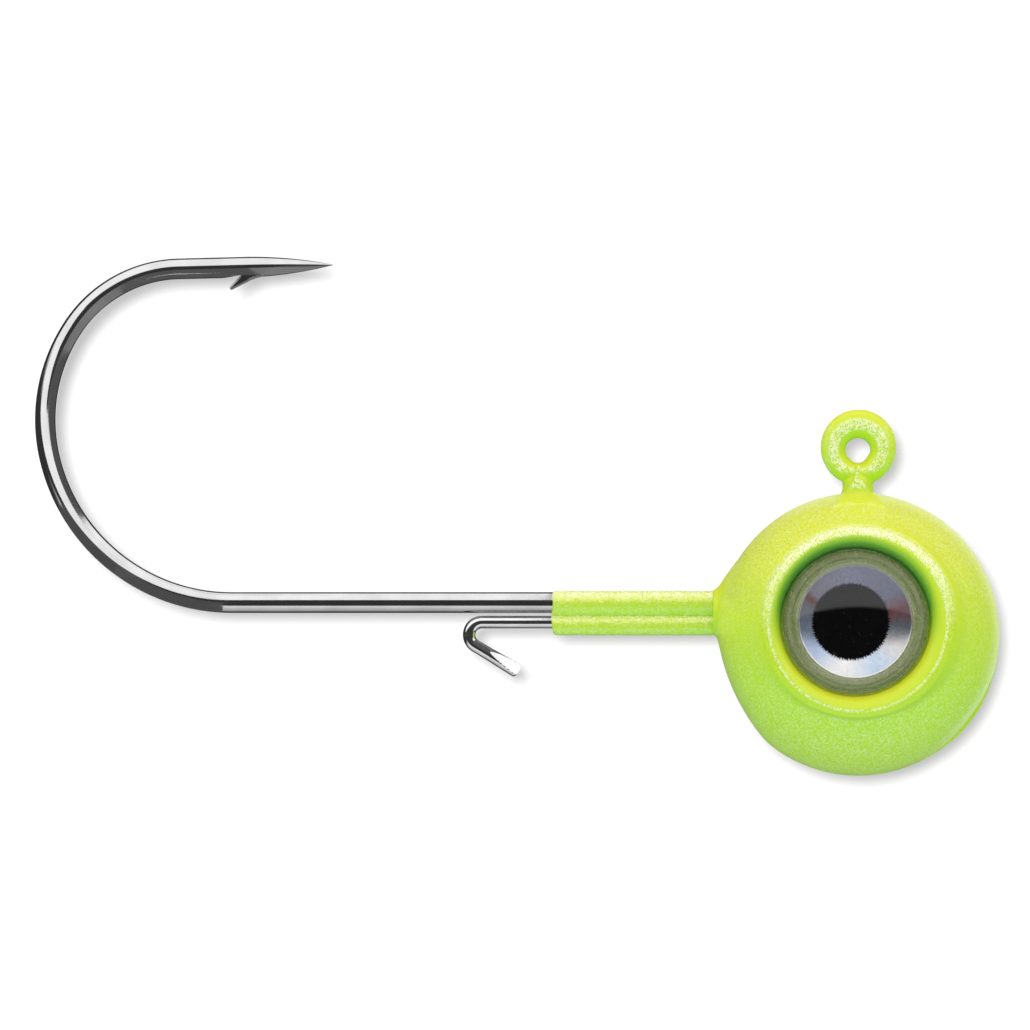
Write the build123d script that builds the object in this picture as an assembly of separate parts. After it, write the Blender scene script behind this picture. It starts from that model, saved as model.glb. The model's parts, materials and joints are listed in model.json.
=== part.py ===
from build123d import *

import os
from math import cos, radians, sin, sqrt

# Round-ball jig head on a 90 degree jig hook, in millimetres.
# Origin: centre of the line-tie loop. +X points at the nose of the ball, +Z up, +Y to the left side.
# The hook lies in the plane Y = 0.

# ---- driving dimensions -------------------------------------------------------------------------

WIRE_R = 0.41            # hook wire
SHANK_Z = -5.905         # shank axis

# line-tie loop, bent from the end of the hook wire
LOOP_WIRE_R = 0.39
LOOP_R = 0.967           # loop radius, to the wire's centre
LOOP_START = -50         # degrees from +X where the stem turns into the loop
LOOP_END = 256           # degrees where the wire's end closes against the stem
ELBOW_R = 1.6            # bend from the stem to the shank, inside the ball

# round bend of the hook, as three tangent arcs from the shank round to the point
BEND_X = -24.35          # where the shank ends and the bend starts
BEND_R = (7.25, 6.51, 5.03)
BEND_TURN = (78.6, 45.8, 54.15)

# point and barb
POINT_X = -20.395        # the tip
POINT_LENGTH = 3.8
POINT_BULGE = 0.115      # how far the point swells beyond a plain cone
TIP_R = 0.015            # the tip is slightly blunt
BARB_ROOT = (-23.99, 6.83)
BARB_TIP = (-24.40, 6.26)
BARB_FRONT = (-23.35, 6.72)
BARB_SLIT_BACK = (-25.10, 6.60)
BARB_THICKNESS = 0.46

# bait keeper wire
KEEPER_R = 0.25
KEEPER_Z = -6.665
KEEPER_BEND_R = 0.50     # to the wire's centre
KEEPER_BACK_X = -15.36   # outermost point of its bend
KEEPER_TURN = 149        # degrees that the wire turns back
KEEPER_ARM = 1.95        # straight arm after the bend
KEEPER_FLAT = 1.35       # length of the flattened end
KEEPER_FLAT_HALF = 0.12  # half thickness at the very end
KEEPER_ANCHOR_X = -3.2   # where it turns down inside the lead
KEEPER_ANCHOR_LEG = 1.2

# ball
BALL = (0.0, -7.14)      # centre, X and Z
BALL_R = 5.5             # over the paint
PAINT = 0.10             # paint film
BOSS_X = -5.64           # rear face of the boss behind the ball, where the collar starts
BOSS_Z = -6.30
BOSS_FLARE = ((0.20, 0.98), (0.55, 1.52), (0.94, 2.00))     # distance from its rear face, and radius
BOSS_REAR_R = 0.86
FLAT_ANGLE = -156        # degrees from +X round to the flatter patch below the boss
FLAT_DEPTH = 0.20        # how far it lies inside the ball
FLAT_R = 8.0             # its radius of curvature
SADDLE_X = 0.95          # half width of the saddle of paint round the foot of the neck
SADDLE_Y = 2.10          # how far it is drawn out to each side
SADDLE_RISE = 0.07

# eye sockets, one on each side; heights are from the ball's centre, along the eye's axis
EYE_UP = 7.3             # degrees that each eye looks up
EYE_BACK = 1.9           # degrees that it looks back
RIM_R = 3.42             # crest of the raised rim
RIM_TUBE_R = 0.34
RIM_CREST = 4.40
RIM_OFFSET = (-0.11, -0.10)     # forward and down from the eye's axis to the rim's
SOCKET_R = 2.93          # inside the paint
SOCKET_FLOOR = 3.62      # over the paint

# eye, from the socket floor outwards
PAD_R = 2.76
PAD_THICKNESS = 0.08
FOIL_R = 2.11            # the dome magnifies it by a tenth
FOIL_THICKNESS = 0.06
PUPIL_R = 1.39
PUPIL_THICKNESS = 0.03
PUPIL_OFFSET = (0.17, -0.02)    # back and up from the foil's centre, where it is printed
LENS_R = 2.82
LENS_STEPS = ((2.82, 0.35), (2.66, 0.48), (2.50, 0.58))  # flange steps: radius, height over the pad
DOME_R = 2.40            # foot of the dome
DOME_TOP = 1.25          # its height over the pad

# paint over the shank and the keeper, behind the ball
COLLAR_X = -11.89        # rear end
COLLAR_TOP = (0.51, -5.955)     # radius and axis height of the lobe over the shank
COLLAR_LOW = (0.405, -6.78)     # the same over the keeper wire

# paint over the line-tie loop
LOOP_PAINT_R = 0.47      # coated wire
LOOP_BEAD = (0.02, 0.12)        # how far the thicker paint sits forward of the loop and above it
LOOP_BEAD_R = 0.467
LOOP_BEAD_RING_R = 1.008
TIE_BORE_R = 0.465       # the hole that a line or snap goes through
TIE_LAND = 0.30          # length of the narrowest part of that hole
NECK_R = 0.61
NECK_TOP_Z = -0.95

BIG = 40.0               # larger than the object, for cutting


# ---- helpers ------------------------------------------------------------------------------------

def in_plane(curve):
    """Move a curve from X, Y coordinates into the hook's plane, as X, Z."""
    return Plane.XZ * curve


def prism(points, thickness):
    """A flat polygon given in the hook's plane, thickened evenly to both sides of it."""
    face = make_face(Polyline(*points, close=True))
    return extrude(Plane.XZ * face, thickness / 2, both=True)


def tube(path, radius):
    """A round wire along a path."""
    start = path @ 0
    section = Plane(origin=start, z_dir=path % 0) * Circle(radius)
    return sweep(section, path)


def eye_plane():
    """A plane at the ball's centre whose Y runs out along the right eye's axis."""
    up = radians(EYE_UP)
    back = radians(EYE_BACK)
    axis = Vector(-sin(back) * cos(up), -cos(back) * cos(up), sin(up))
    across = Vector(0, 0, -1).cross(axis).normalized()
    return Plane(origin=(BALL[0], 0, BALL[1]), x_dir=across, z_dir=across.cross(axis))


def turned(profile, side, offset=(0, 0)):
    """Revolve a profile of radius and height about the eye's axis, on the left (1) or right (-1) side."""
    local = Pos(offset[0], 0, offset[1]) * revolve(Plane.XY * profile, Axis.Y, 360)
    solid = eye_plane() * local
    return mirror(solid, about=Plane.XZ) if side > 0 else solid


def disc(radius, low, high, side, offset=(0, 0)):
    """A flat disc across the eye's axis, from height low to height high."""
    outline = Polyline((0, low), (radius, low), (radius, high), (0, high), close=True)
    return turned(make_face(outline), side, offset)


# ---- hook ---------------------------------------------------------------------------------------

def loop_and_stem():
    """The line-tie loop, the S-bend under it and the stem, as one centreline from the wire's end."""
    a = radians(-LOOP_START)
    sway_r = LOOP_R * cos(a) / (1 - cos(a))   # brings the wire back under the loop's centre
    loop = CenterArc((0, 0), LOOP_R, LOOP_END, LOOP_START - LOOP_END)
    sway = JernArc(loop @ 1, loop % 1, sway_r, -LOOP_START)
    stem = Line(sway @ 1, (0, SHANK_Z + ELBOW_R))
    return loop, sway, stem


def hook_wire():
    """Loop, stem, shank and bend, and the straight centreline that the point stands on."""
    loop, sway, stem = loop_and_stem()
    pieces = [stem, JernArc(stem @ 1, (0, -1), ELBOW_R, -90)]
    pieces.append(Line(pieces[-1] @ 1, (BEND_X, SHANK_Z)))
    for radius, turn in zip(BEND_R, BEND_TURN):
        last = pieces[-1]
        pieces.append(JernArc(last @ 1, last % 1, radius, -turn))
    body = tube(in_plane(loop), LOOP_WIRE_R) + tube(in_plane(sway), LOOP_WIRE_R)
    for piece in pieces:
        body += tube(in_plane(piece), WIRE_R)
    last = pieces[-1]
    run = (POINT_X - (last @ 1).X) / (last % 1).X
    return body, in_plane(Line(last @ 1, last @ 1 + last % 1 * run))


def point_on(line):
    """The straight end of the wire, running out in a slightly swelling needle point."""
    length = line.length
    start = length - POINT_LENGTH
    swell = (start + POINT_LENGTH / 2, WIRE_R / 2 + POINT_BULGE)
    side = ThreePointArc((start, WIRE_R), swell, (length, TIP_R))
    rest = Polyline((length, TIP_R), (length, 0), (0, 0), (0, WIRE_R), (start, WIRE_R))
    needle = revolve(make_face(side + rest), Axis.X, 360)
    return Plane(origin=line @ 0, x_dir=line % 0, z_dir=(0, -1, 0)) * needle


def hook():
    wire, end_line = hook_wire()
    slit = prism([BARB_ROOT, BARB_SLIT_BACK, (BARB_TIP[0], BARB_TIP[1] - 1), BARB_TIP], 2)
    barb = prism([BARB_ROOT, BARB_TIP, BARB_FRONT, (BARB_FRONT[0], BARB_ROOT[1] + 0.1)], BARB_THICKNESS)
    return wire + (point_on(end_line) - slit + barb)


# ---- keeper wire --------------------------------------------------------------------------------

def keeper_wire():
    """Anchored in the lead by a bent leg, along the shank, then turned back on itself."""
    leg = Line((KEEPER_ANCHOR_X, KEEPER_Z - KEEPER_BEND_R - KEEPER_ANCHOR_LEG),
               (KEEPER_ANCHOR_X, KEEPER_Z - KEEPER_BEND_R))
    anchor = JernArc(leg @ 1, (0, 1), KEEPER_BEND_R, 90)
    bend_x = KEEPER_BACK_X + KEEPER_R + KEEPER_BEND_R
    run = Line(anchor @ 1, (bend_x, KEEPER_Z))
    bend = JernArc(run @ 1, (-1, 0), KEEPER_BEND_R, KEEPER_TURN)
    arm = Line(bend @ 1, bend @ 1 + bend % 1 * KEEPER_ARM)
    body = tube(in_plane(leg), KEEPER_R)
    for piece in (anchor, run, bend, arm):
        body += tube(in_plane(piece), KEEPER_R)
    return body - flattening(in_plane(arm))


def flattening(arm):
    """What is taken off the arm's two sides so that its end is pinched flat, like a chisel."""
    start = KEEPER_ARM - KEEPER_FLAT
    end = KEEPER_ARM + 0.2
    profile = [(start, KEEPER_R), (KEEPER_ARM, KEEPER_FLAT_HALF), (end, KEEPER_FLAT_HALF), (end, 1), (start, 1)]
    wedge = extrude(make_face(Polyline(*profile, close=True)), 1, both=True)
    along = Plane(origin=arm @ 0, x_dir=arm % 0, z_dir=Vector(0, 1, 0).cross(arm % 0))
    left = along * wedge
    return left + mirror(left, about=Plane.XZ)


# ---- ball and its paint -------------------------------------------------------------------------

def ball_body(inset):
    """The ball with rims, boss and sockets; inset is how far it lies inside the painted surface."""
    flat = radians(FLAT_ANGLE)
    shift = FLAT_R + FLAT_DEPTH - BALL_R
    flatter = Pos(BALL[0] - shift * cos(flat), 0, BALL[1] - shift * sin(flat)) * Sphere(FLAT_R - inset)
    body = Pos(BALL[0], 0, BALL[1]) * Sphere(BALL_R - inset) & flatter
    flare = [(inset, 0), (inset, BOSS_REAR_R - inset)] + [(x, radius - inset) for x, radius in BOSS_FLARE]
    outline = Polyline(*flare, (BOSS_FLARE[-1][0], 0), close=True)
    body += Pos(BOSS_X, 0, BOSS_Z) * revolve(make_face(outline), Axis.X, 360)
    for side in (1, -1):
        rim_middle = RIM_CREST - RIM_TUBE_R
        body -= disc(RIM_R, rim_middle - inset, BIG, side, RIM_OFFSET)
        body += turned(Pos(RIM_R, rim_middle) * Circle(RIM_TUBE_R - inset), side, RIM_OFFSET)
    for side in (1, -1):
        body -= disc(SOCKET_R + inset, SOCKET_FLOOR - inset, BIG, side)
    return body


def saddle_sphere():
    """The surface that the saddle's paint rises to."""
    return Pos(BALL[0], 0, BALL[1]) * Sphere(BALL_R + SADDLE_RISE)


def saddle():
    """The low saddle of paint round the foot of the neck."""
    return extrude(Pos(0, 0, BALL[1]) * Ellipse(SADDLE_X, SADDLE_Y), BALL_R * 2) & saddle_sphere()


def lead_ball(wires):
    return ball_body(PAINT) - wires


def head_coat(wires):
    return ball_body(0) + saddle() - ball_body(PAINT) - wires


def collar_coat(wires):
    """Paint over the shank and the keeper wire, which shows both wires as two lobes."""
    length = BOSS_X - COLLAR_X
    body = None
    for radius, z in (COLLAR_TOP, COLLAR_LOW):
        lobe = Pos(COLLAR_X + length / 2, 0, z) * Rot(0, 90, 0) * Cylinder(radius, length)
        body = lobe if body is None else body + lobe
    return body - wires


def line_tie_coat(wires):
    """Paint over the loop and the neck; it fills the seam where the loop closes."""
    ring = Rot(90, 0, 0) * Torus(LOOP_R, LOOP_PAINT_R)
    bead = Pos(LOOP_BEAD[0], 0, LOOP_BEAD[1]) * Rot(90, 0, 0) * Torus(LOOP_BEAD_RING_R, LOOP_BEAD_R)
    land = Rot(90, 0, 0) * Cylinder(LOOP_R, TIE_LAND)
    foot_z = BALL[1] + BALL_R
    neck_height = NECK_TOP_Z - foot_z
    neck = Pos(0, 0, foot_z + neck_height / 2) * Cylinder(NECK_R, neck_height)
    bore = Rot(90, 0, 0) * Cylinder(TIE_BORE_R, BIG)
    return ring + bead + land + neck - bore - saddle_sphere() - wires


# ---- eyes ---------------------------------------------------------------------------------------

def eye(side):
    """The four layers of one eye, from the socket floor outwards."""
    pad_top = SOCKET_FLOOR + PAD_THICKNESS
    foil_top = pad_top + FOIL_THICKNESS
    pupil_top = foil_top + PUPIL_THICKNESS
    pad = disc(PAD_R, SOCKET_FLOOR, pad_top, side)
    foil = disc(FOIL_R, pad_top, foil_top, side)
    pupil = disc(PUPIL_R, foil_top, pupil_top, side, PUPIL_OFFSET)
    return pad, foil, pupil, lens(pad_top, side) - foil - pupil


def lens(base, side):
    """The clear moulding: a stepped flange with a dome on it."""
    outline = [(0, base), (LENS_R, base)]
    inner = LENS_STEPS[1:] + ((DOME_R, None),)
    for (radius, height), (next_radius, _) in zip(LENS_STEPS, inner):
        outline += [(radius, base + height), (next_radius, base + height)]
    foot = outline[-1]
    top = (0, base + DOME_TOP)
    rise = top[1] - foot[1]
    dome_sphere = (foot[0] ** 2 + rise ** 2) / (2 * rise)
    centre_y = top[1] - dome_sphere
    half = (DOME_R / 2, centre_y + sqrt(dome_sphere ** 2 - DOME_R ** 2 / 4))
    profile = Polyline(top, *outline) + ThreePointArc(foot, half, top)
    return turned(make_face(profile), side)


# ---- the assembly -------------------------------------------------------------------------------

def main():
    os.makedirs("parts", exist_ok=True)
    wires = [hook(), keeper_wire()]
    nodes = {
        "hook": wires[0],
        "keeper_wire": wires[1],
        "lead_ball": lead_ball(wires),
        "head_coat": head_coat(wires),
        "collar_coat": collar_coat(wires),
        "line_tie_coat": line_tie_coat(wires),
    }
    for side, name in ((1, "left"), (-1, "right")):
        layers = zip(("eye_adhesive", "eye_foil", "eye_pupil", "eye_lens"), eye(side))
        for layer, solid in layers:
            nodes[f"{layer}_{name}"] = solid
    for node, solid in nodes.items():
        export_step(solid, f"parts/{node}.step")


main()
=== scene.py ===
"""Looks of the jig head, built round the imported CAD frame. Shapes are worked out in millimetres."""
import json

import bmesh
import bpy
import numpy as np
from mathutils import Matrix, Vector


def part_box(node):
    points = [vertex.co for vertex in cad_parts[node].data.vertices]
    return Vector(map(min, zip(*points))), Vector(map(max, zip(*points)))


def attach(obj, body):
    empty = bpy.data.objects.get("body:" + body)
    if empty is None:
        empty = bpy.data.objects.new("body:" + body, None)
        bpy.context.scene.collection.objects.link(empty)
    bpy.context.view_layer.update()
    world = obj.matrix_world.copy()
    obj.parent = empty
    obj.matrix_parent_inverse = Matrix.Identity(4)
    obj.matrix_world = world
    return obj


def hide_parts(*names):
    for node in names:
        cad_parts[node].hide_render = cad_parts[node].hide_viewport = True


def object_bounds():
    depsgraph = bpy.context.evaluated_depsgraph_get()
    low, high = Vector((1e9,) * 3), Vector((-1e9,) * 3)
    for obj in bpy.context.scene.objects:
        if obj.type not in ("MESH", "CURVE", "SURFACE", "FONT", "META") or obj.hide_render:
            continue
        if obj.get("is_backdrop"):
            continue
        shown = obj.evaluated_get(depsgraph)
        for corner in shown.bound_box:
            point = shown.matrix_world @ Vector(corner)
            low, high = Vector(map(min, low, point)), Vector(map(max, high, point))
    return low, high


MM = 0.001
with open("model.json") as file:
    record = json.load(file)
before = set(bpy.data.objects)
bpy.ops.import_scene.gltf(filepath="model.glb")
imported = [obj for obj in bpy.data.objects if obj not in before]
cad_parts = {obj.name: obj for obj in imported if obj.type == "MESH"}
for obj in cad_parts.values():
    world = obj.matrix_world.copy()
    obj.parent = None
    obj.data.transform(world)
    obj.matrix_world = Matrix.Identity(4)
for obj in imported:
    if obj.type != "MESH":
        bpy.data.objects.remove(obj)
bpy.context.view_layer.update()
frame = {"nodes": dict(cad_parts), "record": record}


# ---- sizes read from the frame ----

def box(node):
    """Lowest and highest corners of a CAD node, in millimetres."""
    lo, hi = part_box(node)
    return np.array(lo) / MM, np.array(hi) / MM


def coordinates(mesh):
    flat = np.empty(len(mesh.vertices) * 3, np.float32)
    mesh.vertices.foreach_get("co", flat)
    return flat.reshape(-1, 3).astype(float)


def points_of(node):
    """Vertices of a CAD node, in millimetres."""
    return coordinates(frame["nodes"][node].data) / MM


def unit(v):
    return v / np.linalg.norm(v)


def circle(count):
    """Angles of this many points round a circle."""
    return np.linspace(0, 2 * np.pi, count, endpoint=False)


def spokes(angles, across, up):
    """Directions at these angles in the plane of two axes."""
    return np.outer(np.cos(angles), across) + np.outer(np.sin(angles), up)


HEAD_LOW, HEAD_HIGH = box("head_coat")
BALL_R = HEAD_HIGH[0]  # the ball is centred under the line tie, at X = 0
BALL = np.array([0.0, 0.0, HEAD_LOW[2] + BALL_R])
BOSS_X = HEAD_LOW[0]

HOOK_LOW, HOOK_HIGH = box("hook")
WIRE_R = HOOK_HIGH[1]
SHANK_Z = HOOK_LOW[2] + WIRE_R
POINT_SIDE = [p for p in points_of("hook") if p[2] > 5]
TIP = max(POINT_SIDE, key=lambda p: p[0]) * [1, 0, 1]
BARB_TIP = min((p for p in POINT_SIDE if TIP[0] - 5 < p[0]), key=lambda p: p[2])

TIE_LOW, TIE_HIGH = box("line_tie_coat")
TIE_HOLE = frame["record"]["mounts"][0]["dims"]["r_mm"]
LOOP_R = 0.967  # loop of the hook wire, hidden in its paint

KEEPER_LOW, KEEPER_HIGH = box("keeper_wire")
KEEPER_R = KEEPER_HIGH[1]
KEEPER_Z = KEEPER_HIGH[2] - KEEPER_R

COLLAR_LOW, COLLAR_HIGH = box("collar_coat")


def eye_axes(name):
    """Outward axis of an eye, and the across and up directions of its plane."""
    low, high = box(f"eye_foil_{name}")
    out = unit((low + high) / 2 - BALL)
    across = unit(np.cross([0, 0, 1], out))
    return out, across, np.cross(out, across)


def heights_and_radius(node, out):
    """How far a layer of an eye reaches along its axis from the ball's centre, and its radius."""
    offset = points_of(node) - BALL
    along = offset @ out
    radius = np.linalg.norm(offset - np.outer(along, out), axis=1).max()
    return along.min(), along.max(), radius


def far_side(along, away, radius):
    """Distance along a ray to the far side of a circle, or 0 where the ray misses it.

    along and away are the distances to the circle's centre, along the ray and in all.
    """
    inside = radius ** 2 - (away ** 2 - along ** 2)
    return np.where(inside > 0, along + np.sqrt(np.clip(inside, 0, None)), 0)


# ---- mesh helpers ----

WELD = 0.0004  # vertices closer than this become one
WIRE_COLUMNS = 72  # points round a wire


def new_mesh(name, vertices, faces):
    mesh = bpy.data.meshes.new(name)
    mesh.from_pydata([tuple(v) for v in vertices], [], [tuple(f) for f in faces])
    return mesh


def place_object(name, data):
    """A new object in the scene."""
    piece = bpy.data.objects.new(name, data)
    bpy.context.scene.collection.objects.link(piece)
    return piece


def make_object(name, vertices, faces, material, smooth_angle=40):
    """An object from vertices in millimetres; edges sharper than smooth_angle stay crisp."""
    mesh = new_mesh(name, np.asarray(vertices) * MM, faces)
    return finish_mesh(name, mesh, material, smooth_angle)


def finish_mesh(name, mesh, material, smooth_angle):
    """Clean and shade a mesh, and put it in the scene with its material."""
    work = bmesh.new()
    work.from_mesh(mesh)
    bmesh.ops.remove_doubles(work, verts=work.verts, dist=WELD * MM)
    bmesh.ops.recalc_face_normals(work, faces=work.faces)
    work.to_mesh(mesh)
    work.free()
    mesh.shade_smooth()
    mesh.set_sharp_from_angle(angle=np.radians(smooth_angle))
    mesh.materials.clear()
    mesh.materials.append(material)
    return place_object(name, mesh)


def grid_faces(rows, columns):
    """Quads between rows of points, each row a closed ring."""
    faces = []
    for r in range(rows - 1):
        for c in range(columns):
            d = (c + 1) % columns
            faces.append((r * columns + c, r * columns + d, (r + 1) * columns + d, (r + 1) * columns + c))
    return faces


def tube_faces(rows, columns, first=0):
    """The same with a flat cap on each end, for points numbered from first."""
    faces = grid_faces(rows, columns) + [range(columns), range((rows - 1) * columns, rows * columns)]
    return [tuple(first + i for i in face) for face in faces]


def rings_object(name, rings, material, smooth_angle=40):
    """A closed skin through rings of points, capped at both ends."""
    rings = np.asarray(rings)
    faces = tube_faces(*rings.shape[:2])
    return make_object(name, rings.reshape(-1, 3), faces, material, smooth_angle)


def arc(start, heading, radius, turn, step=1.5):
    """Points and headings along an arc in the XZ plane; a positive turn is to the left."""
    count = max(2, int(abs(turn) / step) + 1)
    angles = np.radians(heading + np.linspace(0, turn, count))
    side = np.sign(turn)
    x = start[0] + side * radius * (np.sin(angles) - np.sin(angles[0]))
    z = start[1] - side * radius * (np.cos(angles) - np.cos(angles[0]))
    return np.stack([x, z, np.degrees(angles)], axis=1)


def line(start, heading, length, step=0.5):
    count = max(2, int(length / step) + 1)
    along = np.linspace(0, length, count)
    a = np.radians(heading)
    x = start[0] + along * np.cos(a)
    z = start[1] + along * np.sin(a)
    return np.stack([x, z, np.full(count, float(heading))], axis=1)


def joined(*runs):
    """Runs of a path end to end, without their shared points."""
    return np.concatenate([runs[0]] + [run[1:] for run in runs[1:]])


def distances(path):
    """Distances along a path, from its start and to its end."""
    steps = np.hypot(*np.diff(path[:, :2], axis=0).T)
    return np.cumsum(np.append(0, steps)), np.append(np.cumsum(steps[::-1])[::-1], 0)


def swept(path, across, in_plane, flat=None, roll=0.0):
    """Rings of a wire along a path in the XZ plane. across and in_plane are its half sizes.

    flat is how far it is pressed thin from both sides, and roll turns that pressing, in degrees.
    """
    theta = circle(WIRE_COLUMNS)
    rings = []
    for i, (x, z, heading) in enumerate(path):
        a = np.radians(heading)
        normal = np.array([-np.sin(a), 0, np.cos(a)])
        y = across[i] * np.sin(theta)
        u = in_plane[i] * np.cos(theta)
        if flat is not None:
            c, s = np.cos(np.radians(roll)), np.sin(np.radians(roll))
            excess = c * y - s * u
            excess -= np.clip(excess, -flat[i], flat[i])
            y, u = y - c * excess, u + s * excess
        ring = np.array([x, 0, z]) + np.outer(u, normal)
        ring[:, 1] += y
        rings.append(ring)
    return np.array(rings)


def boolean(target, tool, operation):
    """Apply a boolean between two objects and delete the tool."""
    modifier = target.modifiers.new("cut", "BOOLEAN")
    modifier.object = tool
    modifier.operation = operation
    modifier.solver = "EXACT"
    apply_modifiers(target)
    bpy.data.objects.remove(tool)


def apply_modifiers(piece):
    graph = bpy.context.evaluated_depsgraph_get()
    mesh = bpy.data.meshes.new_from_object(piece.evaluated_get(graph))
    piece.modifiers.clear()
    piece.data = mesh


# ---- materials ----

MIX_SOCKETS = {"FLOAT": (2, 3, 0), "VECTOR": (4, 5, 1), "RGBA": (6, 7, 2)}


class Nodes:
    """A tree of shader nodes written as plain calls."""

    def __init__(self, tree):
        self.tree = tree

    def add(self, kind, settings=None, **inputs):
        """A node with its settings and inputs; _ stands for a space in an input's name."""
        node = self.tree.nodes.new(kind)
        for key, value in (settings or {}).items():
            setattr(node, key, value)
        for key, value in inputs.items():
            self.put(node.inputs[key.replace("_", " ")], value)
        return node

    def put(self, socket, value):
        if isinstance(value, bpy.types.NodeSocket):
            self.tree.links.new(value, socket)
        else:
            socket.default_value = value

    def fill(self, node, *values):
        """Put values into a node's inputs, from the first on."""
        for socket, value in zip(node.inputs, values):
            self.put(socket, value)
        return node.outputs[0]

    def position(self):
        return self.add("ShaderNodeTexCoord").outputs["Object"]

    def xyz(self, vector):
        return self.add("ShaderNodeSeparateXYZ", Vector=vector).outputs

    def noise(self, scale, detail):
        return self.add("ShaderNodeTexNoise", Vector=self.position(), Scale=scale, Detail=detail).outputs[0]

    def swing(self, scale, detail, width):
        """Noise about zero."""
        return self.times(self.minus(self.noise(scale, detail), 0.5), width)

    def span(self, value, low, high, to_low=0.0, to_high=1.0, unit=1.0):
        """Map low..high of a value, given in this unit, to to_low..to_high, clamped."""
        node = self.add("ShaderNodeMapRange", Value=value)
        for index, number in enumerate((low * unit, high * unit, to_low, to_high), start=1):
            node.inputs[index].default_value = number
        return node.outputs[0]

    def over(self, value, low, high):
        """0 below low and 1 above high, which are in millimetres."""
        return self.span(value, low, high, 0, 1, MM)

    def under(self, value, low, high):
        return self.span(value, low, high, 1, 0, MM)

    def band(self, value, rise, fall):
        """1 between a rise and a fall, each a pair in millimetres."""
        return self.times(self.over(value, *rise), self.under(value, *fall))

    def mix(self, factor, first, second, kind="RGBA"):
        """From first to second, which are colours unless kind says otherwise."""
        from_socket, to_socket, result = MIX_SOCKETS[kind]
        node = self.add("ShaderNodeMix", {"data_type": kind})
        self.put(node.inputs[0], factor)
        self.put(node.inputs[from_socket], first)
        self.put(node.inputs[to_socket], second)
        return node.outputs[result]

    def math(self, operation, first, second=0.0):
        return self.fill(self.add("ShaderNodeMath", {"operation": operation}), first, second)

    def times(self, first, second):
        return self.math("MULTIPLY", first, second)

    def plus(self, first, second):
        return self.math("ADD", first, second)

    def minus(self, first, second):
        return self.math("SUBTRACT", first, second)

    def most(self, first, second):
        return self.math("MAXIMUM", first, second)

    def rest_of(self, value):
        """What a value leaves of 1."""
        return self.minus(1.0, value)

    def vector_math(self, operation, first, second=(0, 0, 0), output="Vector"):
        """output is Value where the operation gives a number."""
        node = self.add("ShaderNodeVectorMath", {"operation": operation})
        self.fill(node, first, second)
        return node.outputs[output]

    def length(self, vector):
        return self.vector_math("LENGTH", vector, output="Value")

    def bump(self, height, strength, distance):
        return self.add("ShaderNodeBump", Height=height, Strength=strength, Distance=distance).outputs[0]


class Material(Nodes):
    """A material, whose inputs are those of its one shader."""

    def __init__(self, name):
        self.material = bpy.data.materials.new(name)
        self.material.use_nodes = True
        super().__init__(self.material.node_tree)
        self.shader = self.tree.nodes["Principled BSDF"]

    def set(self, **inputs):
        for key, value in inputs.items():
            self.put(self.shader.inputs[key.replace("_", " ")], value)


def rgb(r, g, b):
    return (r, g, b, 1.0)


def plated_wire(name, colour, roughness):
    """Polished plating with faint drawing marks and a little unevenness."""
    n = Material(name)
    patches = n.span(n.noise(900, 2.0), 0.35, 0.7)
    darker = rgb(*[c * 0.86 for c in colour[:3]])
    marks = n.noise(9000, 4.0)
    n.set(Metallic=1.0, Base_Color=n.mix(patches, colour, darker),
          Roughness=n.span(marks, 0.3, 0.75, roughness, roughness * 1.8),
          Normal=n.bump(marks, 0.06, 0.004 * MM))
    return n.material


FLAKE = 0.055  # size of the pearl flakes


def flake_cells(n, place, size):
    """A random colour for each cell of this size."""
    return n.add("ShaderNodeTexVoronoi", Vector=place, Scale=1 / (size * MM)).outputs["Color"]


def channel(n, colour, index):
    return n.add("ShaderNodeSeparateColor", Color=colour).outputs[index]


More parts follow.
